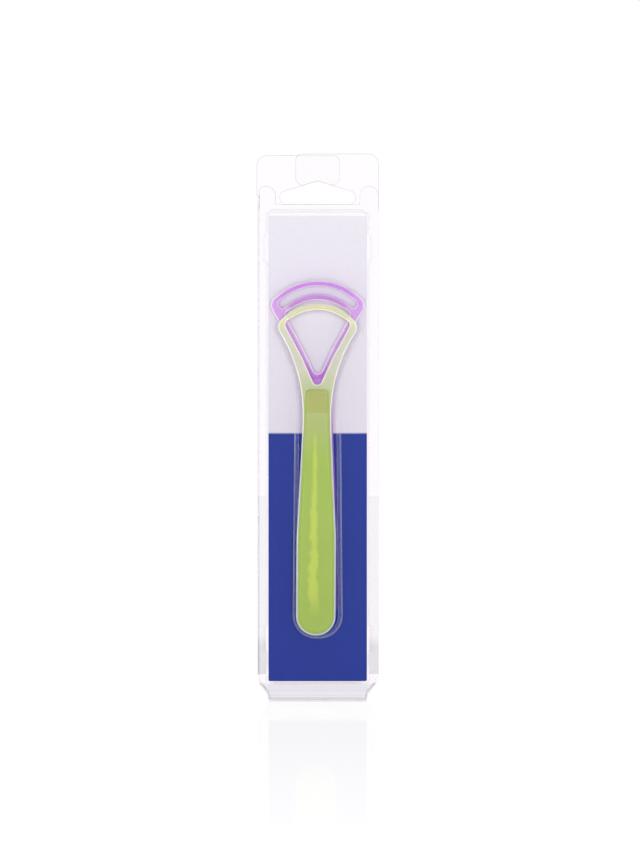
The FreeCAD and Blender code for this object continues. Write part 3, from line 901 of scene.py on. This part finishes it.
class SCRAPERPACK_OT_scrapers(bpy.types.Operator):
    """Give the two scrapers their plastics"""

    bl_idname = "scraper_pack.scrapers"
    bl_label = "Scrapers"

    def execute(self, context):
        pack = context.scene.scraper_pack
        dress("single_blade_scraper", self.lime_look(pack.lime, pack.plastic))
        dress("double_blade_scraper", self.lilac_look(pack.lilac, pack.plastic))
        return {"FINISHED"}

    def lime_look(self, lime, plastic):
        """Lime plastic: deep on the grip, pale on the hoop, with a ragged band where the handles press."""
        top = CAD_HIGH.z
        return moulded_plastic(
            "lime polypropylene", "single_blade_scraper",
            hoop=[
                (HANDLE_FOOT, lime.ledge),
                (LIME_LEDGE_END, lime.ledge),
                (ARM_HEIGHT, lime.arm),
                (CROWN_HEIGHT, lime.arm),
                (LIME_CROWN, lime.crown),
                (top, lime.crown),
            ],
            lip=lime.lip,
            grip=[
                (HANDLE_FOOT, lime.grip),
                (LIME_PALING, lime.grip),
                (LIME_STEP, lime.grip_neck),
                (LIME_GRIP_TOP, lime.grip_top),
                (top, lime.grip_top),
            ],
            # The rims are painted highlights: bluish white on the handle, cream on the hoop
            rim=[
                (HANDLE_FOOT, lime.handle_rim),
                (LIME_HANDLE_RIM_END, lime.handle_rim),
                (LIME_HOOP_RIM, lime.rim),
                (top, lime.rim),
            ],
            plastic=plastic,
            contact=lime.contact,
        )

    def lilac_look(self, lilac, plastic):
        """Lilac plastic: deep along the handle, with painted shade beside the grip on its lower part,
        bright where the arms part and pale on the hoop.
        """
        top = CAD_HIGH.z
        return moulded_plastic(
            "lilac polypropylene", "double_blade_scraper",
            hoop=[
                # Along the lower handle the hoop takes the ledge's dark colour, which is painted shade
                (HANDLE_FOOT, lilac.ledge),
                (LILAC_SHADE_END, lilac.ledge),
                (LILAC_CROTCH, lilac.crotch),
                (LILAC_CROTCH_END, lilac.crotch),
                (LILAC_ARM, lilac.arm),
                (LILAC_ARM_END, lilac.arm),
                (LILAC_CROWN, lilac.crown),
                (top, lilac.crown),
            ],
            lip=lilac.lip,
            grip=[(HANDLE_FOOT, lilac.grip), (top, lilac.grip)],
            # Above the grip the rims are a pale painted highlight; below it they take the handle's colours,
            # painted shade along the lower handle
            rim=[
                (HANDLE_FOOT, lilac.ledge),
                (LILAC_SHADE_END, lilac.ledge),
                (LILAC_CROTCH, lilac.crotch),
                (LILAC_CROTCH_RIM_END, lilac.crotch),
                (GRIP_HEIGHT, lilac.rim),
                (top, lilac.rim),
            ],
            plastic=plastic,
            slot=SLOT,
        )


class SCRAPERPACK_OT_stage(bpy.types.Operator):
    """Add the floor, the light and the camera"""

    bl_idname = "scraper_pack.stage"
    bl_label = "Stage"

    def execute(self, context):
        stage = context.scene.scraper_pack.stage
        aim = Vector(stage.aim)
        bpy.ops.mesh.primitive_plane_add(size=FLOOR_SIZE, location=(0, 0, -FLOOR_GAP))
        floor = context.object
        floor.name = "floor"
        floor.data.materials.append(stage_floor())
        self.add_lamps(context, aim, stage.lamp_power)
        self.add_world(context)
        back = Vector((0, -math.cos(stage.tilt), math.sin(stage.tilt))) * stage.distance
        bpy.ops.object.camera_add(location=aim + back, rotation=(math.pi / 2 - stage.tilt, 0, 0))
        camera = context.object
        camera.data.lens = camera.data.sensor_width * stage.distance / stage.view_height
        context.scene.camera = camera
        context.scene.view_settings.view_transform = "Standard"
        context.scene.cycles.transparent_max_bounces = SHEET_FACES
        return {"FINISHED"}

    def add_lamps(self, context, aim, power):
        """Two tall soft boxes, to the left and right of the camera."""
        across, ahead, above = LAMP_PLACE
        for side in (-1, 1):
            place = aim + Vector((side * across, ahead, above))
            turn = (aim - place).to_track_quat("-Z", "Y").to_euler()
            bpy.ops.object.light_add(type="AREA", location=place, rotation=turn)
            lamp = context.object.data
            lamp.shape = "RECTANGLE"
            lamp.size = LAMP_WIDTH
            lamp.size_y = LAMP_HEIGHT
            lamp.energy = power

    def add_world(self, context):
        """White behind and beside the pack, dim behind the camera."""
        world = bpy.data.worlds.new("studio")
        context.scene.world = world
        world.use_nodes = True
        tree = world.node_tree
        tree.nodes.clear()
        towards = add_node(tree, "ShaderNodeTexCoord").outputs["Generated"]
        ahead = add_node(tree, SEPARATE, {"Vector": towards}).outputs["Y"]
        room = add_node(
            tree, MAP_RANGE, {"Value": ahead, "From Min": -1.0, "From Max": ROOM_FULL, "To Min": ROOM_DIM}
        )
        level = add_node(tree, MATH, {0: room, 1: seen_ray(tree)}, operation="MAXIMUM")
        light = add_node(
            tree, "ShaderNodeBackground", {"Color": opaque(linear("#FFFFFF")), "Strength": level}
        )
        add_node(tree, "ShaderNodeOutputWorld", {"Surface": light})


OPERATORS = (
    SCRAPERPACK_OT_shells,
    SCRAPERPACK_OT_fold,
    SCRAPERPACK_OT_card,
    SCRAPERPACK_OT_scrapers,
    SCRAPERPACK_OT_stage,
)


class SCRAPERPACK_PT_panel(bpy.types.Panel):
    """Settings and steps of the pack"""

    bl_idname = "SCRAPERPACK_PT_panel"
    bl_label = "Scraper Pack"
    bl_space_type = "VIEW_3D"
    bl_region_type = "UI"
    bl_category = "Scraper Pack"

    def draw(self, context):
        pack = context.scene.scraper_pack
        for group in (pack.sheet, pack.fold, pack.card, pack.lime, pack.lilac, pack.plastic, pack.stage):
            box = self.layout.box()
            for name in group.bl_rna.properties.keys():
                if name not in ("rna_type", "name"):
                    box.prop(group, name)
        for operator in OPERATORS:
            self.layout.operator(operator.bl_idname)


CLASSES = (
    SheetSettings,
    FoldSettings,
    CardSettings,
    LimeSettings,
    LilacSettings,
    PlasticSettings,
    StageSettings,
    PackSettings,
    *OPERATORS,
    SCRAPERPACK_PT_panel,
)


def register():
    for cls in CLASSES:
        bpy.utils.register_class(cls)
    bpy.types.Scene.scraper_pack = PointerProperty(type=PackSettings)


def unregister():
    del bpy.types.Scene.scraper_pack
    for cls in reversed(CLASSES):
        bpy.utils.unregister_class(cls)


def main():
    register()
    bpy.ops.scraper_pack.shells()
    bpy.ops.scraper_pack.fold()
    bpy.ops.scraper_pack.card()
    bpy.ops.scraper_pack.scrapers()
    bpy.ops.scraper_pack.stage()


if __name__ == "__main__":
    main()
